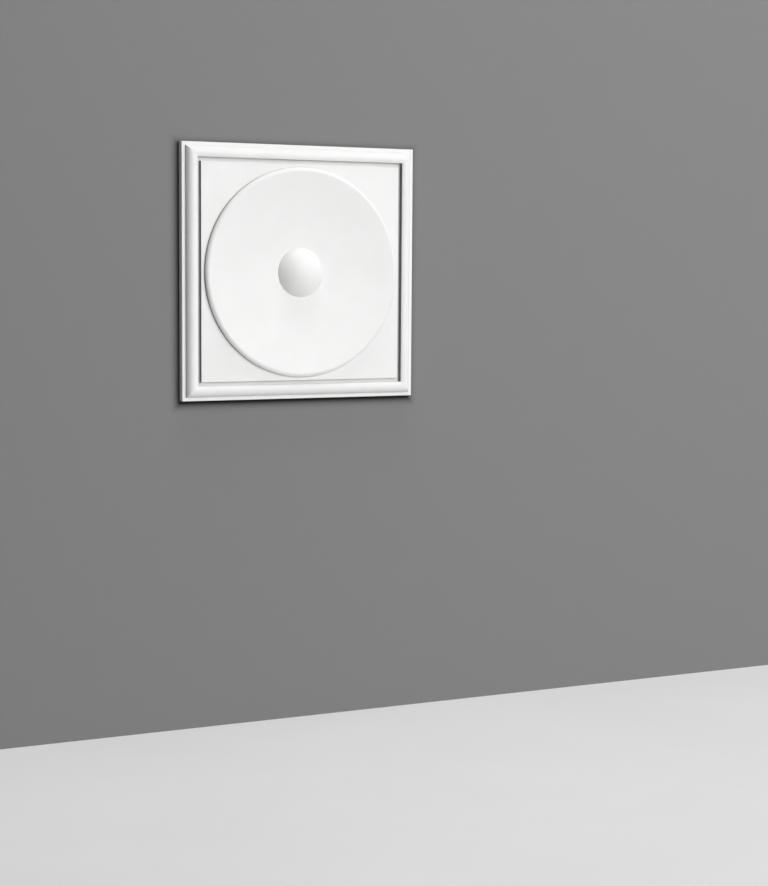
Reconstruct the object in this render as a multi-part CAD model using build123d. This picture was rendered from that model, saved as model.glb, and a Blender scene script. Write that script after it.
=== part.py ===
from build123d import *
import math
import os

# Square moulded wall panel: a mitred frame moulding, a channel, a raised field,
# a round dished disc on the field and a dome at the middle of the dish.
# The flat back lies on the wall at Y = 0, the face looks along -Y, X runs to the right and Z up.
# The origin is the middle of the back. All lengths are in millimetres.

# Outline and ground level
side = 333.0            # outer square
ground = 10.0           # thickness at the outer border and under the channel
border = 4.8            # flat border between the outer edge and the foot of the bead
arris = 0.5             # rounding of the section's outward corners

# Bead of the frame, a large arc that rises steeply outside and stops short inside
bead_radius = 9.1       # radius of the arc
bead_sink = 1.0         # how far the centre of the arc lies below the ground
bead_width = 14.5       # foot of the bead to its inner edge

# Channel and field
channel_width = 5.0     # clear width between the bead and the field
field_rise = 5.3        # field above the ground

# Disc, dish and dome
disc_margin = 4.0       # field left between the disc and the nearest field edge
disc_wall = 0.3         # straight wall at the foot of the disc
disc_round = 5.4        # radius of the disc's rounded rim
dish_floor = 10.0       # thickness left at the middle of the dish
dome_radius = 32.4      # dome measured at its foot
dome_rise = 16.2        # dome above its foot

# Places that follow from those sizes, measured in from the outer edge
bead_centre = border + math.sqrt(bead_radius**2 - bead_sink**2)
bead_inner = border + bead_width
field_edge = bead_inner + channel_width

# Levels above the back
bead_centre_level = ground - bead_sink
field_level = ground + field_rise
crest_level = field_level + disc_wall + disc_round

# The disc stays inside the field
disc_radius = side / 2 - field_edge - disc_margin


# Rim: one section swept round the square, so that the bead is mitred at the corners.
# Across is the distance in from the outer edge, and up is the height above the back.
def rim_section():
    # the round of the bead's inner edge touches the bead from inside and the channel wall
    turn_across = bead_inner - arris
    turn_up = bead_centre_level + math.sqrt((bead_radius - arris) ** 2 - (turn_across - bead_centre) ** 2)
    reach = bead_radius / (bead_radius - arris)
    bead_end = (
        bead_centre + reach * (turn_across - bead_centre),
        bead_centre_level + reach * (turn_up - bead_centre_level),
    )
    bead_foot = (border, ground)
    bead_top = (bead_centre, bead_centre_level + bead_radius)
    inside = field_edge + 2 * arris

    outline = Polyline((inside, 0), (0, 0), (0, ground - arris))
    outline += RadiusArc((0, ground - arris), (arris, ground), arris)
    outline += Line((arris, ground), bead_foot)
    outline += ThreePointArc(bead_foot, bead_top, bead_end)
    outline += RadiusArc(bead_end, (bead_inner, turn_up), arris)
    outline += Polyline(
        (bead_inner, turn_up),
        (bead_inner, ground),
        (field_edge, ground),
        (field_edge, field_level - arris),
    )
    outline += RadiusArc((field_edge, field_level - arris), (field_edge + arris, field_level), arris)
    outline += Polyline((field_edge + arris, field_level), (inside, field_level), (inside, 0))
    return make_face(outline)


def rim():
    half = side / 2
    path = Polyline(
        (0, 0, -half),
        (half, 0, -half),
        (half, 0, half),
        (-half, 0, half),
        (-half, 0, -half),
        (0, 0, -half),
    )
    across = Plane(origin=(0, 0, -half), x_dir=(0, 0, 1), z_dir=(1, 0, 0))
    return sweep(across * rim_section(), path=path, transition=Transition.RIGHT)


# Field: a plain square plate inside the rim, up to the foot of the rim's last rounding
def field():
    width = side - 2 * (field_edge + 2 * arris)
    return Pos(0, -field_level / 2, 0) * Box(width, field_level, width)


# Disc: one turned section with the dome, the concave dish and the rounded rim.
# The dish is a ball surface that touches the round of the rim.
def disc():
    dish_depth = crest_level - dish_floor
    crest_radius = disc_radius - disc_round
    dish_radius = (crest_radius**2 + dish_depth**2) / (2 * dish_depth) - disc_round

    def dish_level(r):
        return dish_floor + dish_radius - math.sqrt(dish_radius**2 - r**2)

    # where the dish runs over into the round of the rim
    touch_radius = crest_radius * dish_radius / (dish_radius + disc_round)
    touch = (touch_radius, dish_level(touch_radius))
    wall_top = (disc_radius, crest_level - disc_round)
    crest = (crest_radius, crest_level)

    dome_foot = (dome_radius, dish_level(dome_radius))
    dome_top = (0, dome_foot[1] + dome_rise)
    dome_curve = (dome_radius**2 + dome_rise**2) / (2 * dome_rise)

    half_way = (dome_radius + touch_radius) / 2
    outline = Polyline(dome_top, (0, 0), (disc_radius, 0), wall_top)
    outline += ThreePointArc(wall_top, crest, touch)
    outline += ThreePointArc(touch, (half_way, dish_level(half_way)), dome_foot)
    outline += RadiusArc(dome_foot, dome_top, -dome_curve)
    turned = Plane(origin=(0, 0, 0), x_dir=(1, 0, 0), z_dir=(0, 0, -1)) * make_face(outline)
    return revolve(turned, Axis((0, 0, 0), (0, 1, 0)))


# The plate is opened inside the disc's crest, so that the dish can reach below the field
def wall_panel():
    opening = Rot(90, 0, 0) * Cylinder(disc_radius - disc_round, 4 * crest_level)
    return rim() + field() - opening + disc()


os.makedirs("parts", exist_ok=True)
export_step(wall_panel(), "parts/wall_panel.step")
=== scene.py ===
import bpy
import bmesh
from math import atan2, cos, hypot, pi, radians, sin, sqrt
from mathutils import Matrix, Vector


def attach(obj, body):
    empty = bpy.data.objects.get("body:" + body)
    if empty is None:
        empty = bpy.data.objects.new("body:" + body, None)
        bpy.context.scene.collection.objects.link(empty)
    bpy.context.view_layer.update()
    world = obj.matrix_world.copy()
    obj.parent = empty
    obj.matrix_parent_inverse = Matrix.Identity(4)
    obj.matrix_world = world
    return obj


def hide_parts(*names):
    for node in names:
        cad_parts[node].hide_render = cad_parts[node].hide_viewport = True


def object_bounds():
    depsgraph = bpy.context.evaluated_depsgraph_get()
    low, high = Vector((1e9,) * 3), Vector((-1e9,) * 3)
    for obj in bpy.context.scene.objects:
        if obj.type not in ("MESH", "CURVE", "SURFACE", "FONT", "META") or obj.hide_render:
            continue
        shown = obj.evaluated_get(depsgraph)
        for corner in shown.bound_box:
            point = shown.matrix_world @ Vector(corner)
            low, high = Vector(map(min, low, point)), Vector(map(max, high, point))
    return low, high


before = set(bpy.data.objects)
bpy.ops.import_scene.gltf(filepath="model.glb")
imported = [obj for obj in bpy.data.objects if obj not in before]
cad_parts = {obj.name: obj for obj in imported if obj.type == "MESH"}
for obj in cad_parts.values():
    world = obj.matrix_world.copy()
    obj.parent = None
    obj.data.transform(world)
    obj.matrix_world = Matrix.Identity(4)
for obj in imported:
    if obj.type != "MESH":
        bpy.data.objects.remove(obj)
cadLow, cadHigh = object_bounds()
print("frame loaded, box", [round(v, 4) for v in cadLow], [round(v, 4) for v in cadHigh])

mm = 0.001
close = 1e-6  # places nearer than this count as the same
scene = bpy.context.scene


# small helpers for working in edit mode

def deselectAll():
    if bpy.context.object and bpy.context.object.mode != "OBJECT":
        bpy.ops.object.mode_set(mode="OBJECT")
    bpy.ops.object.select_all(action="DESELECT")


def startEditing(obj, kind):
    deselectAll()
    obj.select_set(True)
    bpy.context.view_layer.objects.active = obj
    bpy.ops.object.mode_set(mode="EDIT")
    bpy.ops.mesh.select_mode(type=kind)


def pick(obj, kind, test):
    # selects the points, edges or faces that pass the test, and nothing else
    bpy.ops.mesh.select_mode(type=kind)
    bpy.ops.mesh.select_all(action="DESELECT")
    work = bmesh.from_edit_mesh(obj.data)
    work.normal_update()
    parts = {"VERT": work.verts, "EDGE": work.edges, "FACE": work.faces}
    for part in parts[kind]:
        part.select_set(test(part))
    work.select_flush_mode()
    bmesh.update_edit_mesh(obj.data)


# camera, where the picture was seen from, in metres and degrees, with its lens in millimetres
cameraView = {
    "place": (-1.0417, -2.3119, 0.0082),
    "azimuth": -26.89,
    "tiltDown": 5.29,
    "roll": 0.38,
    "lens": 77.28,
    "sensor": 36,
    "farClip": 20,
}


def addCamera(view):
    deselectAll()
    bpy.ops.object.camera_add(location=view["place"])
    camera = bpy.context.object
    camera.name = "camera"
    turn = Matrix.Rotation(radians(view["azimuth"]), 4, "Z")
    turn = turn @ Matrix.Rotation(radians(90 - view["tiltDown"]), 4, "X")
    turn = turn @ Matrix.Rotation(radians(view["roll"]), 4, "Z")
    camera.rotation_euler = turn.to_euler()
    camera.data.sensor_width = view["sensor"]
    camera.data.lens = view["lens"]
    camera.data.clip_end = view["farClip"]
    scene.camera = camera


addCamera(cameraView)
print("camera set")


# the panel
# Sizes run like the section of its rim: across is the way in from the outer edge, up is the height
# above the back. The face looks along -Y, so a height stands at Y = -height.
panel = {
    "side": cadHigh[0] - cadLow[0],
    "ground": 10 * mm,
    "border": 4.8 * mm,
    "arris": 0.5 * mm,
    "beadRadius": 9.1 * mm,
    "beadSink": 1 * mm,
    "beadWidth": 14.5 * mm,
    "channelWidth": 5 * mm,
    "fieldRise": 5.3 * mm,
    "discMargin": 4 * mm,
    "discWall": 0.3 * mm,
    "discRound": 5.4 * mm,
    "dishFloor": 10 * mm,
    "domeRadius": 32.4 * mm,
    "domeRise": 16.2 * mm,
    "sideCuts": 63,     # cuts along each side, and the disc gets as many points as the square
    "fieldCuts": 4,     # rings of points on the field, between the disc and the edge
    "beadSteps": 30,
    "arrisSteps": 6,
    "discSteps": 18,
    "dishSteps": 14,
    "domeSteps": 28,
    "sharpAngle": 32,   # degrees, a fold past this stays crisp
}
panel["beadCentre"] = panel["border"] + sqrt(panel["beadRadius"]**2 - panel["beadSink"]**2)
panel["beadInner"] = panel["border"] + panel["beadWidth"]
panel["fieldEdge"] = panel["beadInner"] + panel["channelWidth"]
panel["fieldLevel"] = panel["ground"] + panel["fieldRise"]
panel["crestLevel"] = panel["fieldLevel"] + panel["discWall"] + panel["discRound"]
panel["discRadius"] = panel["side"] / 2 - panel["fieldEdge"] - panel["discMargin"]
panel["crestRadius"] = panel["discRadius"] - panel["discRound"]
panel["dishDepth"] = panel["crestLevel"] - panel["dishFloor"]
# the dish is part of a ball that touches the round of the disc's rim
ballToRound = (panel["crestRadius"]**2 + panel["dishDepth"]**2) / (2 * panel["dishDepth"])
panel["dishRadius"] = ballToRound - panel["discRound"]


def arc(across, up, radius, start, end, steps):
    # the points after the first, angles from the inward direction towards up
    turns = [start + (end - start) * k / steps for k in range(1, steps + 1)]
    return [(across + radius * cos(a), up + radius * sin(a)) for a in turns]


def rimLine(p):
    # section of the rim from the outer edge in to the field
    arris = p["arris"]
    centre = (p["beadCentre"], p["ground"] - p["beadSink"])
    turnAcross = p["beadInner"] - arris
    turnUp = centre[1] + sqrt((p["beadRadius"] - arris)**2 - (turnAcross - centre[0])**2)
    foot = pi - atan2(p["beadSink"], sqrt(p["beadRadius"]**2 - p["beadSink"]**2))
    brow = atan2(turnUp - centre[1], turnAcross - centre[0])
    inside = p["fieldEdge"] + arris
    line = [(0, p["ground"] - arris)]
    line += arc(arris, p["ground"] - arris, arris, pi, pi / 2, p["arrisSteps"])
    line += [(p["border"], p["ground"])]
    line += arc(centre[0], centre[1], p["beadRadius"], foot, brow, p["beadSteps"])
    line += arc(turnAcross, turnUp, arris, brow, 0, p["arrisSteps"])
    line += [(p["beadInner"], p["ground"]), (p["fieldEdge"], p["ground"])]
    line += [(p["fieldEdge"], p["fieldLevel"] - arris)]
    line += arc(inside, p["fieldLevel"] - arris, arris, pi, pi / 2, p["arrisSteps"])
    return line


def dishLevel(p, radius):
    # height of the dish at a distance from the axis
    return p["dishFloor"] + p["dishRadius"] - sqrt(p["dishRadius"]**2 - radius**2)


def discLine(p):
    # section of the disc from its foot in to the top of the dome, as radius and height
    # touch is where the dish meets the round of the rim, and lean the slope there
    touch = p["crestRadius"] * p["dishRadius"] / (p["dishRadius"] + p["discRound"])
    lean = atan2(touch, sqrt(p["dishRadius"]**2 - touch**2))
    wallTop = p["fieldLevel"] + p["discWall"]
    line = [(p["discRadius"], wallTop)]
    line += arc(p["crestRadius"], wallTop, p["discRound"], 0, pi / 2 + lean, p["discSteps"])
    for k in range(1, p["dishSteps"] + 1):
        radius = touch + (p["domeRadius"] - touch) * k / p["dishSteps"]
        line.append((radius, dishLevel(p, radius)))
    domeCurve = (p["domeRadius"]**2 + p["domeRise"]**2) / (2 * p["domeRise"])
    domeFoot = dishLevel(p, p["domeRadius"])
    domeCentre = domeFoot + p["domeRise"] - domeCurve
    start = atan2(domeFoot - domeCentre, p["domeRadius"])
    line += arc(0, domeCentre, domeCurve, start, pi / 2, p["domeSteps"])
    return line


def raiseRim(obj, p):
    # the front face climbs the section by one extrude or inset after another
    bpy.ops.mesh.select_all(action="SELECT")
    across, up = 0, 0
    for nextAcross, nextUp in rimLine(p):
        if nextAcross - across < close:
            bpy.ops.mesh.extrude_region_move(TRANSFORM_OT_translate={"value": (0, up - nextUp, 0)})
        else:
            bpy.ops.mesh.inset(thickness=nextAcross - across, depth=nextUp - up)
        across, up = nextAcross, nextUp
    bpy.ops.mesh.delete(type="FACE")


def cutSides(obj, p):
    # cuts across the mitred sides, with the mitres themselves left whole
    def along(edge):
        way = edge.verts[1].co - edge.verts[0].co
        return abs(way.y) < close and (abs(way.x) < close or abs(way.z) < close)

    pick(obj, "EDGE", along)
    bpy.ops.mesh.subdivide(number_cuts=p["sideCuts"])


def addDisc(obj, p):
    # a circle on the field, bridged to the square, then drawn up and in ring by ring
    points = 4 * (p["sideCuts"] + 1)
    bpy.ops.mesh.primitive_circle_add(
        vertices=points,
        radius=p["discRadius"],
        location=(0, -p["fieldLevel"], 0),
        rotation=(pi / 2, 0, 0),
    )
    pick(obj, "EDGE", lambda edge: len(edge.link_faces) < 2)
    bpy.ops.mesh.bridge_edge_loops(number_cuts=p["fieldCuts"], interpolation="LINEAR")

    def onDisc(vert):
        return hypot(vert.co.x, vert.co.z) < p["discRadius"] + close and -vert.co.y > p["ground"]

    pick(obj, "VERT", onDisc)
    bpy.ops.mesh.select_mode(type="EDGE")
    radius, up = p["discRadius"], p["fieldLevel"]
    for nextRadius, nextUp in discLine(p):
        bpy.ops.mesh.extrude_edges_move(TRANSFORM_OT_translate={"value": (0, up - nextUp, 0)})
        if nextRadius < close:
            bpy.ops.mesh.merge(type="CENTER")
        elif abs(nextRadius - radius) > close:
            ratio = nextRadius / radius
            bpy.ops.transform.resize(value=(ratio, 1, ratio), center_override=(0, 0, 0))
        radius, up = nextRadius, nextUp


def finishMesh(obj, p):
    bpy.ops.mesh.select_mode(type="VERT")
    bpy.ops.mesh.select_all(action="SELECT")
    bpy.ops.mesh.remove_doubles(threshold=close)
    bpy.ops.mesh.normals_make_consistent(inside=False)
    bpy.ops.object.mode_set(mode="OBJECT")
    bpy.ops.object.shade_smooth_by_angle(angle=radians(p["sharpAngle"]))
    bpy.ops.object.modifier_add(type="WEIGHTED_NORMAL")
    obj.modifiers[-1].keep_sharp = True
    bpy.ops.object.modifier_apply(modifier=obj.modifiers[-1].name)


def addPanel(p):
    deselectAll()
    bpy.ops.mesh.primitive_plane_add(size=p["side"], rotation=(pi / 2, 0, 0))
    obj = bpy.context.object
    obj.name = "moulded_panel"
    bpy.ops.object.transform_apply(location=False, rotation=True, scale=False)
    startEditing(obj, "FACE")
    raiseRim(obj, p)
    cutSides(obj, p)
    addDisc(obj, p)
    finishMesh(obj, p)
    return obj


mouldedPanel = addPanel(panel)
print("panel modelled,", len(mouldedPanel.data.polygons), "faces")


# materials, all on object coordinates in metres

def newGroup(name, inputs, outputs):
    tree = bpy.data.node_groups.new(name, "ShaderNodeTree")
    for label, kind in inputs:
        tree.interface.new_socket(name=label, in_out="INPUT", socket_type=kind)
    for label, kind in outputs:
        tree.interface.new_socket(name=label, in_out="OUTPUT", socket_type=kind)
    return tree, tree.nodes.new("NodeGroupInput").outputs, tree.nodes.new("NodeGroupOutput").inputs


def newMaterial(name):
    material = bpy.data.materials.new(name)
    material.use_nodes = True
    tree = material.node_tree
    place = tree.nodes.new("ShaderNodeTexCoord").outputs["Object"]
    return material, tree, tree.nodes["Principled BSDF"].inputs, place


def feed(tree, socket, value):
    if isinstance(value, bpy.types.NodeSocket):
        tree.links.new(value, socket)
    else:
        socket.default_value = value


def calc(tree, kind, first, second=0.0):
    node = tree.nodes.new("ShaderNodeMath")
    node.operation = kind
    feed(tree, node.inputs[0], first)
    feed(tree, node.inputs[1], second)
    return node.outputs[0]


def noise(tree, place, scale, detail, roughness=0.5):
    node = tree.nodes.new("ShaderNodeTexNoise")
    feed(tree, node.inputs["Vector"], place)
    feed(tree, node.inputs["Scale"], scale)
    node.inputs["Detail"].default_value = detail
    node.inputs["Roughness"].default_value = roughness
    return node.outputs["Fac"]


def remap(tree, value, low, high, toLow, toHigh, kind="LINEAR"):
    node = tree.nodes.new("ShaderNodeMapRange")
    node.interpolation_type = kind
    feed(tree, node.inputs["Value"], value)
    for label, number in zip(("From Min", "From Max", "To Min", "To Max"), (low, high, toLow, toHigh)):
        feed(tree, node.inputs[label], number)
    return node.outputs["Result"]


def blend(tree, mask, first, second):
    node = tree.nodes.new("ShaderNodeMix")
    node.data_type = "RGBA"
    feed(tree, node.inputs["Factor"], mask)
    feed(tree, node.inputs["A"], first)
    feed(tree, node.inputs["B"], second)
    return node.outputs["Result"]


def bump(tree, height, distance):
    node = tree.nodes.new("ShaderNodeBump")
    node.inputs["Distance"].default_value = distance
    feed(tree, node.inputs["Height"], height)
    return node.outputs["Normal"]


def use(tree, group, values):
    node = tree.nodes.new("ShaderNodeGroup")
    node.node_tree = group
    for label, value in values.items():
        feed(tree, node.inputs[label], value)
    return node.outputs


def makeSectionPlace():
    # where a point lies on the panel's sections: way in from the square edge, radius, height
    tree, given, out = newGroup(
        "section place",
        [("Place", "NodeSocketVector"), ("Half Side", "NodeSocketFloat")],
        [("Across", "NodeSocketFloat"), ("Radius", "NodeSocketFloat"), ("Up", "NodeSocketFloat")],
    )
    parts = tree.nodes.new("ShaderNodeSeparateXYZ")
    tree.links.new(given["Place"], parts.inputs[0])
    x, y, z = parts.outputs
    outermost = calc(tree, "MAXIMUM", calc(tree, "ABSOLUTE", x), calc(tree, "ABSOLUTE", z))
    squares = calc(tree, "ADD", calc(tree, "POWER", x, 2.0), calc(tree, "POWER", z, 2.0))
    feed(tree, out["Across"], calc(tree, "SUBTRACT", given["Half Side"], outermost))
    feed(tree, out["Radius"], calc(tree, "SQRT", squares))
    feed(tree, out["Up"], calc(tree, "MULTIPLY", y, -1.0))
    return tree


def makeNearCorner():
    # 1 in a corner of the section, falling off to 0 at Reach from it
    tree, given, out = newGroup(
        "near corner",
        [(label, "NodeSocketFloat") for label in ("Along", "Up", "At", "Level", "Reach")],
        [("Mask", "NodeSocketFloat")],
    )
    along = calc(tree, "POWER", calc(tree, "SUBTRACT", given["Along"], given["At"]), 2.0)
    up = calc(tree, "POWER", calc(tree, "SUBTRACT", given["Up"], given["Level"]), 2.0)
    distance = calc(tree, "SQRT", calc(tree, "ADD", along, up))
    feed(tree, out["Mask"], remap(tree, distance, 0.0, given["Reach"], 1.0, 0.0, "SMOOTHERSTEP"))
    return tree


grainLook = {
    "peelDetail": 2.0,
    "cloudDetail": 4.0,
    "cloudRoughness": 0.6,
    "cloudRange": (0.3, 0.7),   # of the noise, from no cloud to full cloud
}


def makeSprayedGrain(g):
    # fine orange peel, with broad faint clouds where the coat lies a little thicker
    tree, given, out = newGroup(
        "sprayed grain",
        [
            ("Place", "NodeSocketVector"),
            ("Peel Scale", "NodeSocketFloat"),
            ("Cloud Scale", "NodeSocketFloat"),
        ],
        [("Height", "NodeSocketFloat"), ("Clouds", "NodeSocketFloat")],
    )
    peel = noise(tree, given["Place"], given["Peel Scale"], g["peelDetail"])
    clouds = noise(tree, given["Place"], given["Cloud Scale"], g["cloudDetail"], g["cloudRoughness"])
    feed(tree, out["Height"], peel)
    feed(tree, out["Clouds"], remap(tree, clouds, *g["cloudRange"], 0.0, 1.0, "SMOOTHSTEP"))
    return tree


sectionPlace = makeSectionPlace()
nearCorner = makeNearCorner()
sprayedGrain = makeSprayedGrain(grainLook)


def addGrain(tree, place, m):
    values = {"Place": place, "Peel Scale": m["peelScale"], "Cloud Scale": m["cloudScale"]}
    return use(tree, sprayedGrain, values)


primer = {
    "colour": (0.80, 0.80, 0.795, 1),
    "cloudColour": (0.785, 0.785, 0.78, 1),
    "paintedShadeColour": (0.14, 0.14, 0.137, 1),   # painted shade, near black, on the steep inner walls
    "paintedShadeFrom": 0.10,           # a wall that faces the front less than this takes the full painted shade
    "paintedShadeTo": (0.42, 0.70),     # and one that faces it more than this takes none, off the disc and on it
    "discFade": (0.5 * mm, 1.5 * mm),   # how far past the disc one of those gives way to the other
    "sideways": (0.2, 0.85),    # a wall faces up or down below the first, and sideways past the second
    "paintedShadeShare": (0.25, 0.85),  # how much of the painted shade those two take
    # painted shade in the inner corners, where shade falls
    "creaseShadeStrength": 0.05,
    "footReach": 1.2 * mm,      # of the painted shade at the foot of the bead and of the disc
    "cornerReach": 1.6 * mm,    # in the channel's corners and round the dome
    "peelScale": 520,       # about 2 mm from one dimple to the next
    "cloudScale": 28,
    "peelDepth": 0.012 * mm,
    "roughness": (0.50, 0.58),
    "specular": 0.35,
}


def makePrimer(p, m):
    material, tree, surface, place = newMaterial("white primer")
    at = use(tree, sectionPlace, {"Place": place, "Half Side": p["side"] / 2})
    grain = addGrain(tree, place, m)
    # the inner corners, darkened with painted shade, as the way they are measured, place, level and
    # reach
    corners = [
        ("Across", p["border"], p["ground"], m["footReach"]),
        ("Across", p["beadInner"], p["ground"], m["cornerReach"]),
        ("Across", p["fieldEdge"], p["ground"], m["cornerReach"]),
        ("Radius", p["discRadius"], p["fieldLevel"], m["footReach"]),
        ("Radius", p["domeRadius"], dishLevel(p, p["domeRadius"]), m["cornerReach"]),
    ]
    creaseShade = 0.0
    for way, spot, level, reach in corners:
        corner = {"Along": at[way], "Up": at["Up"], "At": spot, "Level": level, "Reach": reach}
        creaseShade = calc(tree, "MAXIMUM", use(tree, nearCorner, corner)["Mask"], creaseShade)
    colour = blend(tree, grain["Clouds"], m["colour"], m["cloudColour"])
    # the steep walls of the channel and of the disc are darkened with painted shade,
    # most of all where they face sideways
    facing = tree.nodes.new("ShaderNodeSeparateXYZ")
    tree.links.new(tree.nodes.new("ShaderNodeTexCoord").outputs["Normal"], facing.inputs[0])
    frontal = calc(tree, "ABSOLUTE", facing.outputs["Y"])
    sideways = calc(tree, "ABSOLUTE", facing.outputs["X"])
    # the painted shade reaches further up the disc's round than up the bead, and leaves out the outer
    # edge
    discEnds = [p["discRadius"] + fade for fade in m["discFade"]]
    onDisc = remap(tree, at["Radius"], *discEnds, 1.0, 0.0)
    limit = remap(tree, onDisc, 0.0, 1.0, *m["paintedShadeTo"])
    steep = remap(tree, frontal, m["paintedShadeFrom"], limit, 1.0, 0.0, "SMOOTHSTEP")
    steep = calc(tree, "MULTIPLY", steep, remap(tree, at["Across"], 0.0, p["border"], 0.0, 1.0))
    share = remap(tree, sideways, *m["sideways"], *m["paintedShadeShare"])
    creaseShade = calc(tree, "MULTIPLY", creaseShade, m["creaseShadeStrength"])
    # painted shade on the steep walls, joined with the painted shade in the inner corners
    paintedShadeMask = calc(tree, "MAXIMUM", calc(tree, "MULTIPLY", steep, share), creaseShade)
    feed(tree, surface["Base Color"], blend(tree, paintedShadeMask, colour, m["paintedShadeColour"]))
    feed(tree, surface["Roughness"], remap(tree, grain["Clouds"], 0.0, 1.0, *m["roughness"]))
    feed(tree, surface["Normal"], bump(tree, grain["Height"], m["peelDepth"]))
    surface["Specular IOR Level"].default_value = m["specular"]
    return material


foam = {
    "colour": (0.75, 0.71, 0.61, 1),
    "cloudColour": (0.69, 0.645, 0.54, 1),
    "poreColour": (0.50, 0.455, 0.36, 1),
    "poreScale": 640,
    "poreEdge": (0.17, 0.374),  # from the floor of a pore to its rim, in cells
    "patchScale": 71.1,
    "patchDetail": 2.0,
    "patchEdge": (0.48, 0.62),  # only some patches have open pores
    "peelScale": 320,
    "cloudScale": 16,
    "grainShare": 0.4,          # height of the grain beside the depth of a pore
    "poreDepth": 0.12 * mm,
    "roughness": 0.85,
    "specular": 0.25,
}


def makeFoam(m):
    material, tree, surface, place = newMaterial("bare foam back")
    cells = tree.nodes.new("ShaderNodeTexVoronoi")
    feed(tree, cells.inputs["Vector"], place)
    cells.inputs["Scale"].default_value = m["poreScale"]
    pores = remap(tree, cells.outputs["Distance"], *m["poreEdge"], 1.0, 0.0, "SMOOTHSTEP")
    patches = noise(tree, place, m["patchScale"], m["patchDetail"])
    pores = calc(tree, "MULTIPLY", pores, remap(tree, patches, *m["patchEdge"], 0.0, 1.0))
    grain = addGrain(tree, place, m)
    colour = blend(tree, grain["Clouds"], m["colour"], m["cloudColour"])
    feed(tree, surface["Base Color"], blend(tree, pores, colour, m["poreColour"]))
    height = calc(tree, "SUBTRACT", calc(tree, "MULTIPLY", grain["Height"], m["grainShare"]), pores)
    feed(tree, surface["Normal"], bump(tree, height, m["poreDepth"]))
    surface["Roughness"].default_value = m["roughness"]
    surface["Specular IOR Level"].default_value = m["specular"]
    return material


def coatPanel(obj, p):
    # primer all over, and bare foam on the back
    obj.data.materials.append(makePrimer(p, primer))
    obj.data.materials.append(makeFoam(foam))
    startEditing(obj, "FACE")
    pick(obj, "FACE", lambda face: face.normal.y > 1 - close)
    obj.active_material_index = 1
    bpy.ops.object.material_slot_assign()
    deselectAll()


coatPanel(mouldedPanel, panel)
print("panel coated")


# wall behind the panel and floor in front of it; the camera sees each of them only from its front
stage = {
    "gap": 0.1 * mm,        # between the wall and the back of the panel
    "opening": panel["side"] - 1 * mm,  # hole in the wall behind the panel, hidden by it
    "reach": 2.4,           # the wall to each side of the panel
    "floorDrop": 0.60,      # floor below the middle of the panel
}
wallPaint = {
    "colour": (0.21, 0.21, 0.21, 1),
    "shade": (0.02, 0.02, 0.02, 1),
    "shadeReach": 18 * mm,  # how far the wall is darker round the panel
    "shadeDrop": 3.5 * mm,  # and how much further down
    "shadeFalloff": 3.0,
    "rollerScale": 420,
    "rollerDetail": 3.0,
    "rollerDepth": 0.03 * mm,
    "roughness": 0.9,
    "specular": 0.1,
}
floorPaint = {
    "colour": (0.76, 0.76, 0.76, 1),
    "cloudColour": (0.74, 0.74, 0.74, 1),
    "cloudScale": 3,
    "peelScale": 300,
    "peelDepth": 0.02 * mm,
    "roughness": 0.8,
    "specular": 0.05,
    "glow": 0.10,           # added for the camera alone, so that the floor looks pale
}


def addWall(s):
    deselectAll()
    bpy.ops.mesh.primitive_plane_add(
        size=s["opening"],
        location=(0, s["gap"], 0),
        rotation=(pi / 2, 0, 0),
    )
    obj = bpy.context.object
    obj.name = "studio_wall"
    bpy.ops.object.transform_apply(location=True, rotation=True, scale=False)
    startEditing(obj, "FACE")
    bpy.ops.mesh.select_all(action="SELECT")
    bpy.ops.mesh.delete(type="ONLY_FACE")
    # the opening's edge spreads out to the whole wall, and its foot is lifted to the floor
    bpy.ops.mesh.select_mode(type="EDGE")
    bpy.ops.mesh.select_all(action="SELECT")
    bpy.ops.mesh.extrude_edges_move()
    grow = 2 * s["reach"] / s["opening"]
    bpy.ops.transform.resize(value=(grow, 1, grow), center_override=(0, 0, 0))
    pick(obj, "VERT", lambda vert: vert.co.z < -s["reach"] + mm)
    bpy.ops.transform.translate(value=(0, 0, s["reach"] - s["floorDrop"]))
    pick(obj, "FACE", lambda face: face.normal.y > 0)
    bpy.ops.mesh.flip_normals()
    bpy.ops.object.mode_set(mode="OBJECT")
    return obj


def addFloor(s):
    deselectAll()
    spot = (0, s["gap"] - s["reach"], -s["floorDrop"])
    bpy.ops.mesh.primitive_plane_add(size=2 * s["reach"], location=spot)
    obj = bpy.context.object
    obj.name = "studio_floor"
    bpy.ops.object.transform_apply(location=True, rotation=False, scale=False)
    return obj


def openBack(tree, mask):
    # the stage is clear where the mask is 1
    clear = tree.nodes.new("ShaderNodeBsdfTransparent")
    choose = tree.nodes.new("ShaderNodeMixShader")
    tree.links.new(mask, choose.inputs["Fac"])
    tree.links.new(tree.nodes["Principled BSDF"].outputs["BSDF"], choose.inputs[1])
    tree.links.new(clear.outputs["BSDF"], choose.inputs[2])
    tree.links.new(choose.outputs["Shader"], tree.nodes["Material Output"].inputs["Surface"])


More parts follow.
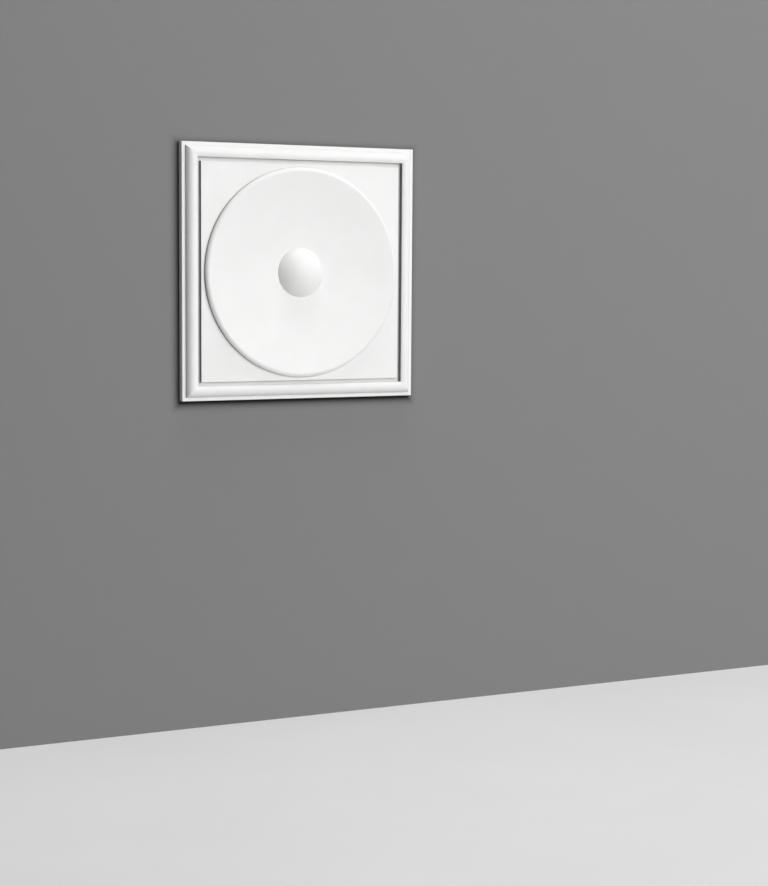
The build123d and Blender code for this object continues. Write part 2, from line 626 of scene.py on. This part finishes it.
def makeWallPaint(p, m):
    material, tree, surface, place = newMaterial("matt wall paint")
    lifted = tree.nodes.new("ShaderNodeMapping")
    tree.links.new(place, lifted.inputs["Vector"])
    lifted.inputs["Location"].default_value = (0, 0, m["shadeDrop"])
    at = use(tree, sectionPlace, {"Place": lifted.outputs["Vector"], "Half Side": p["side"] / 2})
    near = remap(tree, at["Across"], -m["shadeReach"], 0.0, 0.0, 1.0)
    shade = calc(tree, "POWER", near, m["shadeFalloff"])
    feed(tree, surface["Base Color"], blend(tree, shade, m["colour"], m["shade"]))
    grain = noise(tree, place, m["rollerScale"], m["rollerDetail"])
    feed(tree, surface["Normal"], bump(tree, grain, m["rollerDepth"]))
    surface["Roughness"].default_value = m["roughness"]
    surface["Specular IOR Level"].default_value = m["specular"]
    # the camera looks through it from behind, the light doesn't
    behind = tree.nodes.new("ShaderNodeNewGeometry").outputs["Backfacing"]
    seen = tree.nodes.new("ShaderNodeLightPath").outputs["Is Camera Ray"]
    openBack(tree, calc(tree, "MULTIPLY", behind, seen))
    return material


def makeFloorPaint(m):
    material, tree, surface, place = newMaterial("pale floor paint")
    grain = addGrain(tree, place, m)
    feed(tree, surface["Base Color"], blend(tree, grain["Clouds"], m["colour"], m["cloudColour"]))
    feed(tree, surface["Normal"], bump(tree, grain["Height"], m["peelDepth"]))
    surface["Roughness"].default_value = m["roughness"]
    surface["Specular IOR Level"].default_value = m["specular"]
    seen = tree.nodes.new("ShaderNodeLightPath").outputs["Is Camera Ray"]
    surface["Emission Color"].default_value = (1, 1, 1, 1)
    feed(tree, surface["Emission Strength"], calc(tree, "MULTIPLY", seen, m["glow"]))
    openBack(tree, tree.nodes.new("ShaderNodeNewGeometry").outputs["Backfacing"])
    return material


studioWall = addWall(stage)
studioWall.data.materials.append(makeWallPaint(panel, wallPaint))
studioFloor = addFloor(stage)
studioFloor.data.materials.append(makeFloorPaint(floorPaint))
print("wall and floor made")


# lamps: where they stand as seen from the panel, angles in degrees, and their power in watts
lamps = {
    "key": {"azimuth": 30, "height": 22, "distance": 5.0, "size": 4.0, "power": 167},
    "front fill": {"azimuth": 10, "height": 10, "distance": 6.0, "size": 1.6, "power": 98},
    "top fill": {"azimuth": 0, "height": 80, "distance": 3.0, "size": 1.2, "power": 41},
    "back fill": {"azimuth": 150, "height": 35, "distance": 3.5, "size": 2.0, "power": 155},
}
room = {
    "ambient": 0.02,    # light from all round
    "seen": 0.86,       # what the camera sees past the stage
}


def addLamp(name, lamp):
    azimuth, height = radians(lamp["azimuth"]), radians(lamp["height"])
    way = Vector((sin(azimuth) * cos(height), -cos(azimuth) * cos(height), sin(height)))
    deselectAll()
    bpy.ops.object.light_add(type="AREA", location=way * lamp["distance"])
    obj = bpy.context.object
    obj.name = name
    obj.data.shape = "DISK"
    obj.data.size = lamp["size"]
    obj.data.energy = lamp["power"]
    obj.rotation_euler = way.to_track_quat("Z", "Y").to_euler()
    obj.visible_camera = False


def addRoom(r):
    world = bpy.data.worlds.new("pale room")
    scene.world = world
    world.use_nodes = True
    tree = world.node_tree
    background = tree.nodes["Background"]
    background.inputs["Color"].default_value = (1, 1, 1, 1)
    seen = tree.nodes.new("ShaderNodeLightPath").outputs["Is Camera Ray"]
    feed(tree, background.inputs["Strength"], remap(tree, seen, 0.0, 1.0, r["ambient"], r["seen"]))


for lampName, lampSet in lamps.items():
    addLamp(lampName, lampSet)
addRoom(room)
scene.view_settings.view_transform = "Standard"
print("lamps and room set")

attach(mouldedPanel, "root")
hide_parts("wall_panel")
